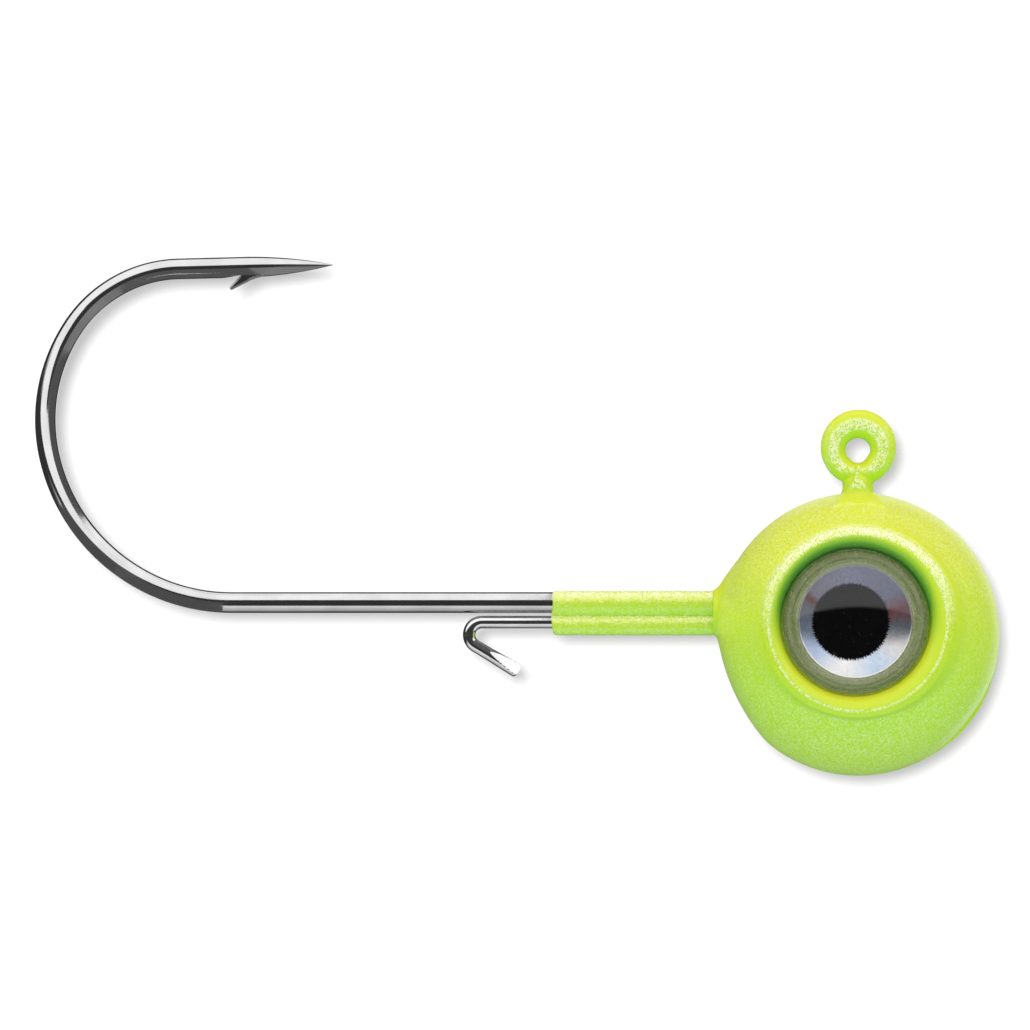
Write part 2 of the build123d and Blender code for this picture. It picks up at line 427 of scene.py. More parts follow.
def pearl_paint():
    """Chartreuse pearl: a lime body, painted yellower on upward faces as light from above, with painted
    shade in the sockets and painted highlights on crests, full of fine flakes.
    """
    n = Material("pearl_paint")
    place = n.position()
    facing = n.add("ShaderNodeNewGeometry").outputs["Normal"]
    upward = n.xyz(facing)[2]
    off_rim = off_eye_axis(n, place, RIM_SHIFT)
    rim = n.band(off_rim, (RIM_R - 0.06, RIM_R + 0.04), (RIM_R + 0.28, RIM_R + 0.52))
    rim_top = n.band(off_rim, (RIM_R - 0.02, RIM_R + 0.01), (RIM_R + 0.09, RIM_R + 0.12))
    wires = wire_crests(n, place)
    collar = n.under(n.xyz(place)[0], BOSS_X - 0.05, BOSS_X + 0.05)
    # over these the paint is drawn thin and the flakes lie close
    rich = n.most(n.most(rim, wires), collar)
    smooth = smooth_places(n, place, off_rim, collar)

    # the body's colour, painted yellower on upward faces as light from above, and painted shade: deep green
    # on the sockets' downward-facing slopes
    # painted light: yellow as a face turns up, green as it turns down, with a little noise
    painted_top_light = n.span(n.plus(upward, n.swing(500, 3.0, 0.35)), -0.45, 0.75)
    body = n.mix(painted_top_light, rgb(0.42, 0.76, 0.022), rgb(0.68, 0.74, 0.004))
    # painted shade: deep green where the socket's slopes face down, under the rim
    socket = n.under(off_eye_axis(n, place), 2.98, 3.36)
    shade = n.times(socket, n.span(upward, -0.15, 0.30, 0.92, 0.0))
    body = n.mix(shade, body, rgb(0.05, 0.32, 0.018))

    # pale pearl specks everywhere, the paint's own, with their share raised on downward and upward faces as
    # painted light; and painted highlights, near-white specks where the light above catches a crest
    fine = channel(n, flake_cells(n, place, 0.8 * FLAKE), 1)
    # painted light: more pale specks on faces turned down or up
    pale = n.plus(n.span(upward, -0.75, -0.05, 0.30, 0.13), n.span(upward, 0.05, 0.60, 0.0, 0.14))
    pearl = n.times(n.span(fine, 0.62, 0.70), pale)
    pearl = n.times(pearl, n.rest_of(n.times(smooth, 0.85)))
    # painted highlight: where the light above catches the rim, the loop, its seam and the collar's top
    lit = n.times(rim, n.span(upward, 0.05, 0.50, 0.0, 0.9))
    lit = n.most(lit, n.times(wires, 0.7))
    lit = n.most(lit, n.times(rim_top, 0.5))
    lit = n.most(lit, n.times(collar, n.span(upward, 0.2, 0.8, 0.0, 0.75)))
    bright = n.times(n.span(fine, 0.40, 0.46), lit)
    # near-white colours of the painted highlight specks
    painted_sparkle = n.mix(bright, rgb(0.90, 1.0, 0.78), rgb(1.0, 1.0, 0.74))
    body = n.mix(n.most(pearl, bright), body, painted_sparkle)

    # larger flakes under the clear coat, each leaning its own way
    flakes = flake_cells(n, place, FLAKE)
    lot = channel(n, flakes, 0)
    share = n.times(0.34, n.rest_of(n.times(smooth, 0.9)))
    share = n.plus(share, n.times(rich, 0.50))
    shows = n.span(n.minus(share, lot), 0.0, 0.06)
    shows = n.times(shows, n.span(upward, -0.30, 0.15, 0.30, 1.0))
    gloss = n.times(shows, n.span(rich, 0.0, 1.0, 0.28, 0.85))
    throw = n.math("POWER", n.math("FRACT", n.times(lot, 31.7)), 3.0)
    throw = n.plus(n.times(throw, 1.2), 0.22)
    lean = n.vector_math("SUBTRACT", flakes, (0.5, 0.5, 0.5))
    lean = n.add("ShaderNodeVectorMath", {"operation": "SCALE"}, Vector=lean, Scale=throw).outputs[0]
    glint = n.vector_math("NORMALIZE", n.vector_math("ADD", facing, lean))
    ripple = n.bump(n.noise(2600, 2.0), 0.20, 0.02 * MM)

    n.set(Base_Color=body, Roughness=n.span(n.noise(1800, 3.0), 0.3, 0.7, 0.34, 0.46), Normal=ripple,
          Specular_IOR_Level=0.25, Sheen_Weight=0.10, Sheen_Roughness=0.4,
          Coat_Weight=n.plus(gloss, 0.15), Coat_Roughness=0.17, Coat_IOR=2.1,
          Coat_Normal=n.mix(shows, ripple, glint, "VECTOR"))
    return n.material


def wire_crests(n, place):
    """1 on the loop's two faces, along its seam and in the small triangle at the seam's foot."""
    x, y, z = n.xyz(place)
    across = n.math("ABSOLUTE", y)
    loop = n.times(n.over(across, 0.43, 0.465), n.over(z, -0.95, -0.75))
    slant = n.plus(n.times(z, SEAM_SLANT), (SEAM_X + 0.60 * SEAM_SLANT) * MM)
    seam = n.under(n.math("ABSOLUTE", n.minus(x, slant)), 0.03, 0.06)
    seam = n.times(seam, n.band(z, (-1.26, -1.22), (-0.60, -0.56)))
    foot = n.plus(n.math("ABSOLUTE", x), n.times(z, 0.75))
    foot = n.times(n.under(foot, -0.76, -0.70), n.band(z, (-1.50, -1.44), (-1.18, -1.10)))
    foot = n.times(foot, n.over(across, 0.25, 0.35))
    neck = n.times(n.most(seam, foot), n.over(across, 0.2, 0.3))
    return n.most(loop, neck)


def smooth_places(n, place, off_rim, collar):
    """1 on the boss, the neck, the saddle at its foot and in the sockets, where the paint ran together."""
    x, y, z = n.xyz(place)
    off_ball = n.length(from_ball(n, place))
    raised = n.times(n.over(off_ball, BALL_R + 0.02, BALL_R + 0.12), n.under(z, -1.30, -1.15))
    saddle = n.plus(n.times(n.times(x, x), 4.4), n.times(y, y))
    saddle = n.times(n.under(n.math("SQRT", saddle), 2.05, 2.30), n.over(z, -2.6, -2.5))
    in_socket = n.under(off_rim, RIM_R - 0.12, RIM_R - 0.04)
    return n.times(n.most(n.most(raised, saddle), in_socket), n.rest_of(collar))


def from_ball(n, place):
    return n.vector_math("SUBTRACT", place, tuple(BALL * MM))


def off_eye_axis(n, place, shift=(0, 0)):
    """Distance from the axis of the nearer eye, or from a line shifted forward and up from it."""
    x, y, z = n.xyz(from_ball(n, place))
    near = n.add("ShaderNodeCombineXYZ", X=x, Y=n.times(n.math("ABSOLUTE", y), -1.0), Z=z)
    axis = (EYE_ACROSS * shift[0] + EYE_UP * shift[1]) * MM
    near = n.vector_math("SUBTRACT", near.outputs[0], tuple(axis))
    return n.length(n.vector_math("CROSS_PRODUCT", near, tuple(EYE_OUT)))


def clear_moulding():
    n = Material("clear_lens")
    streaks = n.noise(1500, 3.0)
    n.set(Base_Color=rgb(0.97, 0.985, 0.96), IOR=1.49, Transmission_Weight=1.0,
          Roughness=n.span(streaks, 0.3, 0.8, 0.0, 0.035), Normal=n.bump(streaks, 0.05, 0.01 * MM))
    return n.material


RING_PITCH = 0.21  # of the painted light and dark rings on the adhesive, which stand in for the shade and highlights of the eye's stepped edge


def adhesive():
    n = Material("clear_adhesive")
    bubbles = n.noise(2500, 3.0)
    off = off_eye_axis(n, n.position())
    # painted shade and painted highlights: light and dark rings round the eye's axis, roughened by noise
    rings = n.math("SINE", n.times(off, 2 * np.pi / (RING_PITCH * MM)))
    rings = n.plus(rings, n.times(n.minus(bubbles, 0.5), 0.6))
    n.set(Base_Color=n.mix(n.span(rings, -0.6, 1.0), rgb(0.62, 0.78, 0.27), rgb(1.0, 1.0, 0.62)),
          IOR=1.45, Transmission_Weight=0.5, Roughness=n.span(bubbles, 0.3, 0.7, 0.15, 0.35))
    return n.material


# the foil's tints at shares of a turn round the eye, from opposite its across direction and down
FOIL_TINTS = (
    (0.00, (0.40, 0.46, 0.66)), (0.10, (0.52, 0.62, 0.85)), (0.20, (0.98, 0.94, 0.96)),
    (0.32, (0.60, 0.72, 0.92)), (0.42, (0.84, 0.80, 0.82)), (0.48, (0.30, 0.34, 0.42)),
    (0.545, (0.46, 0.16, 0.18)), (0.60, (0.50, 0.52, 0.78)), (0.78, (0.66, 0.67, 0.98)),
    (0.90, (0.58, 0.54, 0.72)), (0.925, (0.36, 0.14, 0.12)), (0.965, (0.40, 0.44, 0.58)))


def holographic_foil(name):
    """Metallised film whose tint turns round the eye, as an embossed rainbow film does, with a painted
    highlight round its edge.
    """
    out, across, up = eye_axes(name)
    n = Material(f"holographic_foil_{name}")
    low, high = box(f"eye_foil_{name}")
    offset = n.vector_math("SUBTRACT", n.position(), tuple((low + high) / 2 * MM))
    x, z = [n.vector_math("DOT_PRODUCT", offset, tuple(v), "Value") for v in (across, up)]
    turn = n.span(n.math("ARCTAN2", z, x), -np.pi, np.pi)
    ramp = n.add("ShaderNodeValToRGB", Fac=n.plus(turn, n.swing(1200, 2.0, 0.06)))
    stops = ramp.color_ramp.elements
    for index, (position, tint) in enumerate(FOIL_TINTS):
        stop = stops[index] if index < 2 else stops.new(position)
        stop.position = position
        stop.color = rgb(*tint)
    grain = n.noise(9000, 3.0)
    foil_r = heights_and_radius(f"eye_foil_{name}", out)[2]
    # painted highlight: a thin near-white ring just inside the foil's edge
    painted_edge_highlight = n.span(off_eye_axis(n, n.position()), foil_r - 0.075, foil_r - 0.045, 0, 0.9, MM)
    n.set(Base_Color=n.mix(painted_edge_highlight, ramp.outputs[0], rgb(1.0, 1.0, 1.0)),
          Metallic=n.span(grain, 0.3, 0.7, 0.62, 0.52),
          Roughness=n.span(grain, 0.3, 0.7, 0.10, 0.22),
          Normal=n.bump(n.noise(1800, 2.0), 0.15, 0.01 * MM))
    return n.material


def pupil_ink():
    n = Material("pupil_ink")
    specks = n.noise(14000, 2.0)
    n.set(Base_Color=n.mix(n.span(specks, 0.68, 0.74), rgb(0.003, 0.003, 0.004), rgb(0.05, 0.05, 0.055)),
          Roughness=n.span(specks, 0.4, 0.7, 0.45, 0.6), Specular_IOR_Level=0.0)
    return n.material


def cast_lead():
    n = Material("cast_lead")
    skin = n.noise(1500, 5.0)
    n.set(Base_Color=n.mix(skin, rgb(0.16, 0.17, 0.19), rgb(0.34, 0.35, 0.38)), Metallic=1.0,
          Roughness=n.span(skin, 0.3, 0.7, 0.4, 0.65), Normal=n.bump(skin, 0.3, 0.03 * MM))
    return n.material


# ---- hook ----

LOOP_START = -50  # degrees from +X where the stem turns into the loop
LOOP_END = 256  # degrees where the wire's end closes against the stem
ELBOW_R = 1.6
BEND_R = (7.25, 6.51, 5.03)
BEND_TURN = (78.6, 45.8, 54.15)
POINT_LENGTH = 3.8
POINT_SWELL = 0.115
POINT_END_R = 0.012
SLIM_AT = (4.6, 5.1, 6.5, 7.1)  # distances from the loop's end, and the hidden wire's radius there
SLIM_R = (0.39, 0.25, 0.25, WIRE_R)
BARB_NOTCH = np.array([0.42, 0, 0.56])  # from the barb's tip to where its cut ends in the wire
BARB_FRONT = np.array([0.94, 0, 0.42])  # and to where it leaves the wire in front
BARB_TIP_R = 0.075
BARB_WIDTH = 0.50


def hook_path():
    """Centreline from the loop's end to the tip, as X, Z and heading."""
    a = np.radians(-LOOP_START)
    sway_r = LOOP_R * np.cos(a) / (1 - np.cos(a))
    end = np.radians(LOOP_END)
    loop = arc(LOOP_R * np.array([np.cos(end), np.sin(end)]), LOOP_END - 90, LOOP_R,
               LOOP_START - LOOP_END, 4)
    sway = arc(loop[-1], loop[-1][2], sway_r, -LOOP_START, 4)
    stem = line(sway[-1], -90, sway[-1][1] - SHANK_Z - ELBOW_R)
    elbow = arc(stem[-1], -90, ELBOW_R, -90, 5)
    bend = rear_bend()
    shank = line(elbow[-1], -180, elbow[-1][0] - bend[0][0])
    last = bend[-1]
    run = (TIP[0] - last[0]) / np.cos(np.radians(last[2]))
    return joined(loop, sway, stem, elbow, shank, bend, line(last, last[2], run, 0.05))


def rear_bend():
    """The round bend, placed so that its outermost point is the hook's rear."""
    runs = [arc((0, SHANK_Z), -180, BEND_R[0], -BEND_TURN[0])]
    for radius, turn in zip(BEND_R[1:], BEND_TURN[1:]):
        runs.append(arc(runs[-1][-1], runs[-1][-1][2], radius, -turn))
    bend = joined(*runs)
    bend[:, 0] += HOOK_LOW[0] + WIRE_R - bend[:, 0].min()
    return bend


def point_radius(to_tip):
    """Radius of the wire at a distance from the tip: a slightly swelling needle."""
    t = np.clip(to_tip / POINT_LENGTH, 0, 1)
    return WIRE_R * t + 4 * POINT_SWELL * t * (1 - t) + POINT_END_R * (1 - t)


def hook(material):
    """The wire, with its barb cut and raised behind the point."""
    path = hook_path()
    from_loop, to_tip = distances(path)
    radius = np.minimum(point_radius(to_tip), WIRE_R)
    radius = np.minimum(radius, np.interp(from_loop, SLIM_AT, SLIM_R))
    piece = rings_object("hook", swept(path, radius, radius), material)
    root = BARB_TIP + BARB_NOTCH
    under_tip = BARB_TIP + [0.05, 0, 0]
    slit = [root, root + [-1.1, 0, -0.20], root + [-1.1, 0, -1.2], under_tip + [0, 0, -0.5], under_tip]
    boolean(piece, wedge("slit", slit, 1.2, material, 0.0), "DIFFERENCE")
    boolean(piece, wedge("barb", barb_outline(root), BARB_WIDTH, material, 0.07), "UNION")
    return finish_again(piece, "hook", material, 35)


def barb_outline(root):
    """The barb seen from the side: a straight blunt blade raised from the wire."""
    front = BARB_TIP + BARB_FRONT
    end = BARB_TIP + [0.055, 0, 0.060]
    outer = [front + [0.5, 0, 0.12], front + [0.22, 0, 0.055]]
    outer += [front + [0.06, 0, 0.01], front + [-0.10, 0, -0.045]]
    turns = np.radians(np.linspace(295, 135, 9))
    tip = [end + BARB_TIP_R * np.array([np.cos(a), 0, np.sin(a)]) for a in turns]
    return outer + tip + [root, root + [0.3, 0, 0.25]]


def wedge(name, outline, thickness, material, bevel):
    """A flat outline in the XZ plane, thickened evenly to both sides, with rounded edges."""
    outline = np.array(outline) * [1, 0, 1]
    half = np.array([0, thickness / 2, 0])
    count = len(outline)
    faces = [range(count), range(2 * count - 1, count - 1, -1)] + grid_faces(2, count)
    piece = make_object(name, np.concatenate([outline - half, outline + half]), faces, material)
    if bevel:
        modifier = piece.modifiers.new("round", "BEVEL")
        modifier.width = bevel * MM
        modifier.segments = 3
        apply_modifiers(piece)
    return piece


def finish_again(piece, name, material, smooth_angle):
    """Clean a mesh after modifiers and give it its shading and material again."""
    mesh = piece.data
    bpy.data.objects.remove(piece)
    return finish_mesh(name, mesh, material, smooth_angle)


# ---- keeper wire ----

KEEPER_BEND_R = 0.50
KEEPER_TURN = 149  # degrees that the wire turns back
KEEPER_ARM = 1.95
KEEPER_FLAT = 1.35  # length of the pressed end
KEEPER_FLAT_HALF = 0.12
KEEPER_WIDEN = 0.03  # how far the pressed end spreads
KEEPER_CORNER = 0.14  # length over which its end is rounded
KEEPER_ROLL = 22  # degrees


def keeper_wire(material):
    """A leg inside the lead, a run under the shank, and an arm bent back and pressed thin at its end."""
    anchor_x = KEEPER_HIGH[0] - KEEPER_R
    leg_low = KEEPER_LOW[2]
    leg = line((anchor_x, leg_low), 90, KEEPER_Z - KEEPER_BEND_R - leg_low)
    anchor = arc(leg[-1], 90, KEEPER_BEND_R, 90, 4)
    bend_x = KEEPER_LOW[0] + KEEPER_R + KEEPER_BEND_R
    run = line(anchor[-1], 180, anchor[-1][0] - bend_x)
    bend = arc(run[-1], 180, KEEPER_BEND_R, KEEPER_TURN, 3)
    arm = line(bend[-1], bend[-1][2], KEEPER_ARM, 0.02)
    path = joined(leg, anchor, run, bend, arm)
    to_end = distances(path)[1]
    t = np.clip(1 - to_end / KEEPER_FLAT, 0, 1)
    flat = KEEPER_R + (KEEPER_FLAT_HALF - KEEPER_R) * t
    corner = np.sqrt(np.clip(1 - (1 - np.clip(to_end / KEEPER_CORNER, 0, 1)) ** 2, 0.02, 1))
    in_plane = (KEEPER_R + KEEPER_WIDEN * t) * (0.45 + 0.55 * corner)
    across = np.full(len(path), KEEPER_R)
    return rings_object("keeper_wire", swept(path, across, in_plane, flat, KEEPER_ROLL), material, 28)


# ---- ball ----

EYE_OUT, EYE_ACROSS, EYE_UP = eye_axes("right")
RIM_R = 3.42  # crest of the raised rim
RIM_SHIFT = (0.11, -0.10)  # from the eye's axis to the rim's: forward and down
RIM_HEIGHT = 4.40  # the crest's height over the ball's centre
RIM_TUBE = 0.34
RIM_RISE = 0.50  # the inner slope, from the socket's wall up to the crest
RIM_RUN_OUT = 1.3  # how far the rim's outer slope runs out, except below, where it ends in a crease
FILM = 0.10  # paint over the lead
COLUMNS = 352  # points round each half of the ball
BOSS_Z = 0.84  # axis of the boss over the ball's centre
# radius of the boss at distances in front of its rear face
BOSS_FLARE = ((-1, 0.86), (0, 0.86), (0.20, 0.98), (0.55, 1.52), (0.94, 2.0), (1.4, 2.2), (4, 2.3))
FLAT_ANGLE = -156  # degrees round from +X to the flatter patch below the boss
FLAT_DEPTH = 0.20
FLAT_R = 8.0
PARTING_ANGLE = -38  # where the two halves of the casting meet least well
PARTING_NEAR = -0.085  # how far each half stands out there
PARTING_FAR = 0.045


def smooth_max(a, b, k):
    """The larger of two values, rounded off where they differ by less than k."""
    h = np.clip(0.5 + 0.5 * (a - b) / k, 0, 1)
    return b * (1 - h) + a * h + k * h * (1 - h)


def smooth_min(a, b, k):
    return -smooth_max(-a, -b, k)


def bump_shape(value, width):
    """1 at zero, falling to nothing a few widths away."""
    return np.exp(-(value / width) ** 2)


def sigmoid(value, width):
    """A soft step from 0 to 1, at zero."""
    return 1 / (1 + np.exp(-np.clip(value / width, -40, 40)))


def boss_radius(s):
    """Radius of the boss at a distance in front of its rear face."""
    at, radius = np.array(BOSS_FLARE).T
    return np.mean([np.interp(s + shift, at, radius) for shift in np.linspace(-0.12, 0.12, 7)], axis=0)


def boss_reach(direction, inset):
    """Distance from the ball's centre to the flared boss, along each direction."""
    backward = np.clip(-direction[:, 0], 1e-6, None)
    low = np.zeros(len(direction))
    high = np.full(len(direction), BALL_R + 1.5)
    for _ in range(30):
        t = (low + high) / 2
        off = np.hypot(t * direction[:, 1], t * direction[:, 2] - BOSS_Z)
        outside = off > boss_radius(-BOSS_X - t * backward) - inset
        high = np.where(outside, t, high)
        low = np.where(outside, low, t)
    rear = (-BOSS_X - inset) / backward
    return np.where(direction[:, 0] < -0.6, smooth_min(low, rear, 0.06), 0)


def flat_reach(direction, inset):
    """Distance from the ball's centre to the flatter patch below the boss."""
    a = np.radians(FLAT_ANGLE)
    shift = FLAT_R + FLAT_DEPTH - BALL_R
    along = -shift * (direction @ np.array([np.cos(a), 0, np.sin(a)]))
    return far_side(along, shift, FLAT_R - inset)


def crest_radius(phi):
    """Distance from the eye's axis to the rim's crest, in each direction round the eye."""
    along = np.cos(phi) * RIM_SHIFT[0] + np.sin(phi) * RIM_SHIFT[1]
    return far_side(along, np.hypot(*RIM_SHIFT), RIM_R)


def rim_reach(alpha, crest, inset):
    """Distance from the ball's centre to the rim's tube, at an angle from the eye's axis."""
    height = RIM_HEIGHT - RIM_TUBE
    reach = np.hypot(crest, height)
    along = reach * np.cos(alpha - np.arctan2(crest, height))
    return far_side(along, reach, RIM_TUBE - inset)


def run_out_reach(alpha, crest, phi):
    """Distance from the ball's centre to the gentle slope outside the rim."""
    height = RIM_HEIGHT - RIM_TUBE
    proud = np.hypot(crest, height) + RIM_TUBE - BALL_R
    below = bump_shape(np.angle(np.exp(1j * (phi + np.pi / 2))), np.radians(52))
    width = RIM_RUN_OUT * (1 - 0.8 * below)
    past = (alpha - np.arctan2(crest, height)) * BALL_R / width
    return BALL_R + proud * 0.5 * (1 + np.cos(np.pi * np.clip(past, 0, 1))) * (past > 0)


def saddle_rise(points):
    """The low saddle of paint before and behind the neck, wider at its ends."""
    out = np.abs(points[:, 1])
    half = 0.60 + 0.42 * np.clip(out / 2.1, 0, 1) ** 1.4
    side = sigmoid(half - np.abs(points[:, 0] - 0.03), 0.030)
    front = sigmoid(2.12 - out + 0.10 * np.abs(points[:, 0]), 0.025)
    dimple = 0.05 * bump_shape(points[:, 0], 0.22) * bump_shape(out - 2.02, 0.07)
    return 0.075 * side * front - dimple


def skin(points, side, inset):
    """Move points of the plain ball onto its real surface; side is -1 for the near half, 1 for the far."""
    offset = points - BALL
    reach = np.linalg.norm(offset, axis=1)
    direction = offset / reach[:, None]
    turn = np.degrees(np.arctan2(direction[:, 2], direction[:, 0]))
    reach = smooth_min(reach, flat_reach(direction, inset) + 0.02, 0.05)
    reach = smooth_max(reach, boss_reach(direction, inset), 0.12)
    if inset:
        return BALL + direction * reach[:, None]
    reach += np.where(direction[:, 2] > 0.8, saddle_rise(points), 0)
    parting = bump_shape(turn - PARTING_ANGLE, 17) * bump_shape(points[:, 1], 1.3)
    reach += (PARTING_NEAR if side < 0 else PARTING_FAR) * parting
    return BALL + direction * reach[:, None]


def column_angles():
    """Angles round the eye, closer together where the boss and the neck need detail."""
    fine = np.linspace(0, 2 * np.pi, 7201)
    density = 1 + 1.2 * bump_shape(fine - np.pi, 0.30) + 1.8 * bump_shape(fine - np.pi / 2, 0.30)
    total = np.concatenate([[0], np.cumsum((density[1:] + density[:-1]) / 2)])
    return np.interp(np.linspace(0, total[-1], COLUMNS, endpoint=False), total, fine)


def socket_profile(inset, crest):
    """Radius and height from the middle of the socket's floor up its wall to the rim's crest."""
    floor = heights_and_radius("eye_adhesive_right", EYE_OUT)[0] - inset
    lens_r = heights_and_radius("eye_lens_right", EYE_OUT)[2]
    wall_r = lens_r + 0.11 + inset
    wall_top = RIM_HEIGHT - RIM_RISE
    profile = [(r, floor) for r in (0.3, 1.2, 2.2, wall_r - 0.2)]
    for c in np.radians(np.linspace(0, 90, 5)):
        profile.append((wall_r - 0.12 + 0.12 * np.sin(c), floor + 0.12 - 0.12 * np.cos(c)))
    for c in np.radians(np.linspace(180, 90, 24)):
        profile.append((crest + (crest - wall_r) * np.cos(c), wall_top + (RIM_RISE - inset) * np.sin(c)))
    return profile


def ball_half(inset, side):
    """Rings from the middle of the near socket, over the rim, out to the parting plane."""
    phi = column_angles()
    crest = crest_radius(phi)
    spoke = spokes(phi, EYE_ACROSS, EYE_UP)
    rings = [BALL + np.broadcast_to(r, len(phi))[:, None] * spoke + h * EYE_OUT
             for r, h in socket_profile(inset, crest)]
    last = np.arctan2(-EYE_OUT[1], spoke[:, 1])
    start = np.arctan2(crest, RIM_HEIGHT - inset)
    steps = np.concatenate([np.linspace(0, 0.26, 31)[1:], np.linspace(0.26, 1, 58)[1:]])
    outer = []
    for t in steps:
        alpha = start + (last - start) * t
        plain = np.full(len(alpha), BALL_R - inset)
        if not inset:
            plain = run_out_reach(alpha, crest, phi)
        reach = smooth_max(rim_reach(alpha, crest, inset), plain, 0.04 + 0.08 * min(1, t / 0.08))
        heading = np.sin(alpha)[:, None] * spoke + np.outer(np.cos(alpha), EYE_OUT)
        outer.append(BALL + reach[:, None] * heading)
    outer = skin(np.array(outer).reshape(-1, 3), side, inset)
    return np.concatenate([rings, outer.reshape(-1, len(phi), 3)])


def head_coat(material):
    """The paint film: an outer skin from socket to socket, and a plainer inner one against the lead."""
    vertices = []
    faces = []
    for inset, columns_step, rows_step in ((0.0, 1, 1), (FILM - 0.005, 4, 3)):
        near, far = [ball_half(inset, side)[:, ::columns_step] for side in (-1, 1)]
        rows = list(range(0, len(near) - 1, rows_step)) + [len(near) - 1]
        rings = np.concatenate([near[rows], (far[rows] * [1, -1, 1])[::-1]])
        faces += tube_faces(*rings.shape[:2], len(vertices))
        vertices += list(rings.reshape(-1, 3))
    return make_object("head_coat", vertices, faces, material, 50)


# ---- paint over the wires ----

KEEPER_LOBE_R = 0.405
COLLAR_POINTS = 96  # points round the collar


def collar_outline(blend):
    """Two lobes, over the shank and over the keeper, with a groove between them."""
    theta = circle(COLLAR_POINTS)
    upper_r = COLLAR_HIGH[1]
    upper = np.array([0, COLLAR_HIGH[2] - upper_r])
    lower = np.array([0, COLLAR_LOW[2] + KEEPER_LOBE_R])
    centre = np.array([0, (COLLAR_HIGH[2] + COLLAR_LOW[2]) / 2])
    direction = np.stack([np.cos(theta), np.sin(theta)], axis=1)

    def reach(middle, radius):
        return far_side(direction @ (middle - centre), np.linalg.norm(middle - centre), radius)

    distance = smooth_max(reach(upper, upper_r), reach(lower, KEEPER_LOBE_R), blend)
    return centre + direction * distance[:, None]


def collar_coat(material):
    """Thin at its rear edge, where it laps onto the wires, and fuller towards the ball."""
    rings = []
    length = BOSS_X - COLLAR_LOW[0] + 0.5
    rng = np.random.default_rng(7)
    ripple = rng.normal(0, 1, (6, 2))
    for t in np.concatenate([[0, 0.004, 0.010, 0.018, 0.03], np.linspace(0.05, 1, 50)]):
        outline = collar_outline(0.05 + 0.34 * t)
        centre = outline.mean(axis=0)
        edge = 0.86 + 0.14 * min(1, t / 0.025) ** 0.4
        uneven = sum(a * np.sin((i + 2) * 3.1 * t + b) for i, (a, b) in enumerate(ripple)) * 0.0022
        outline = centre + (outline - centre) * (edge + uneven)
        x = COLLAR_LOW[0] + length * t
        around = np.arctan2(outline[:, 1] - centre[1], outline[:, 0])
        lag = 0.03 * np.sin(3 * around) * (1 - min(1, t / 0.03))
        rings.append(np.stack([x + lag, outline[:, 0], outline[:, 1]], axis=1))
    return rings_object("collar_coat", rings, material, 60)


LOOP_HALF = 0.49  # half the painted loop's thickness
NECK_TOP = -0.80  # where the neck leaves the loop
NECK_POINTS = 64  # points round the neck
SEAM_X = 0.02  # the seam's upper end, and how it slants
SEAM_SLANT = 0.22


def line_tie_coat(material):
    """The coated loop and neck, melted into one smooth skin, with the seam where the loop closes."""
    foot = BALL[2] + BALL_R
    ring = loop_rings()
    neck_z = np.linspace(NECK_TOP, foot - 0.12, 18)
    neck_r = 0.60 + 0.10 * np.clip((foot + 0.22 - neck_z) / 0.3, 0, 1) ** 2
    shoulder = np.clip((NECK_TOP - neck_z) / 0.55, 0, 1)
    neck_deep = neck_r - 0.20 * (1 - shoulder) ** 2
    theta = circle(NECK_POINTS)
    neck = [np.stack([r * np.cos(theta), deep * np.sin(theta), np.full(NECK_POINTS, z)], axis=1)
            for r, deep, z in zip(neck_r, neck_deep, neck_z)]
    vertices = np.concatenate([ring.reshape(-1, 3), np.array(neck).reshape(-1, 3)])
    count = ring.shape[0] * ring.shape[1]
    faces = [tuple(i % count for i in face) for face in grid_faces(ring.shape[0] + 1, ring.shape[1])]
    faces += tube_faces(len(neck), NECK_POINTS, count)
    piece = place_object("line_tie_coat", new_mesh("line_tie_coat", vertices, faces))  # in millimetres
    melt = piece.modifiers.new("melt", "REMESH")
    melt.mode = "VOXEL"
    melt.voxel_size = 0.025
    soften = piece.modifiers.new("soften", "SMOOTH")
    soften.iterations = 10
    apply_modifiers(piece)
    shaped = seamed(coordinates(piece.data)) * MM
    piece.data.vertices.foreach_set("co", shaped.astype(np.float32).ravel())
    return finish_again(piece, "line_tie_coat", material, 75)


def loop_rings():
    """The coated loop: thicker over its top, with a hole that narrows slightly towards the seam."""
    outer_r = (TIE_HIGH[0] - TIE_LOW[0]) / 2
    centre = np.array([(TIE_HIGH[0] + TIE_LOW[0]) / 2, TIE_HIGH[2] - outer_r])
    rings = []
    for a in circle(128):
        away = np.array([np.cos(a), np.sin(a)])
        outer = far_side(away @ centre, np.linalg.norm(centre), outer_r)
        turn = np.degrees(a)
        inner = TIE_HOLE + 0.012 - 0.050 * bump_shape(turn - 322, 26) - 0.03 * bump_shape(turn - 225, 24)
        middle, half = (outer + inner) / 2, (outer - inner) / 2
        b = circle(56)
        out = middle + half * np.cos(b)
        rings.append(np.stack([out * away[0], LOOP_HALF * np.sin(b), out * away[1]], axis=1))
    return np.array(rings)


def seamed(points):
    """Raise the seam between the loop's end and the stem in the paint, on both faces."""
    x, y, z = points.T
    off = x - (SEAM_X + SEAM_SLANT * (z + 0.60))
    along = sigmoid(-z - 0.58, 0.03) * sigmoid(z + 1.26, 0.03)
    lift = (0.055 * bump_shape(off, 0.035) - 0.045 * bump_shape(off + 0.08, 0.04)) * along
    return np.stack([x, y + np.sign(y) * lift * (np.abs(y) > 0.15), z], axis=1)


# ---- eyes ----

